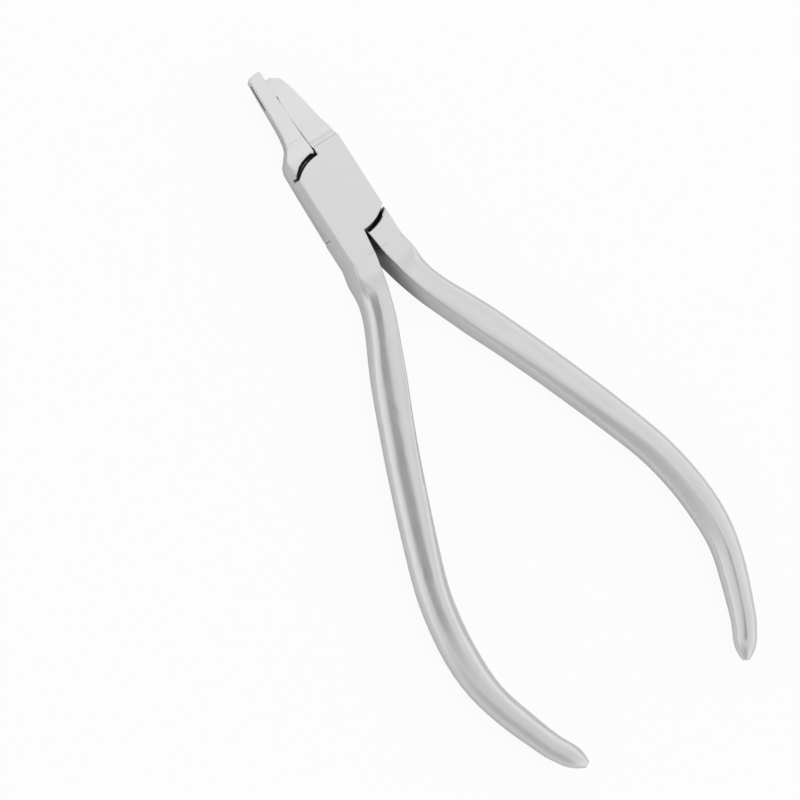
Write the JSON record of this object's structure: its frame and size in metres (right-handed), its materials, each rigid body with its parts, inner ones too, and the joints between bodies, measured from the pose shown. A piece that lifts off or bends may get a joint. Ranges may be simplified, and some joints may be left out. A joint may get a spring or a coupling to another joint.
{
  "type": "orthodontic pliers",
  "caption": "Steel lap-joint orthodontic pliers with bowed handles, a long beak pierced by a die window and a short beak ending in a thin punch blade.",
  "frame": {"origin": "centre of the pivot screw's flush head, on the flat back face that the pliers lie on", "axes": "+Y along the closed beaks towards their tips, +Z out of the front face along the pivot axis, +X towards the short beak"},
  "size_m": [0.062, 0.1406, 0.0074],
  "materials": {
    "satin_steel_front": "satin ground stainless steel",
    "satin_steel_back": "satin ground stainless steel",
    "ground_steel": "fine ground stainless steel, flush with the plate"
  },
  "bodies": {
    "back": {"back_half": "satin_steel_back"},
    "front": {"front_half": "satin_steel_front", "pivot_screw": "ground_steel"}
  },
  "joints": [
    {"name": "lap_hinge", "type": "hinge", "parent": "back", "child": "front", "pos_m": [0, 0, 0.0037], "axis": [0, 0, -1], "range_deg": [0, 25]}
  ]
}
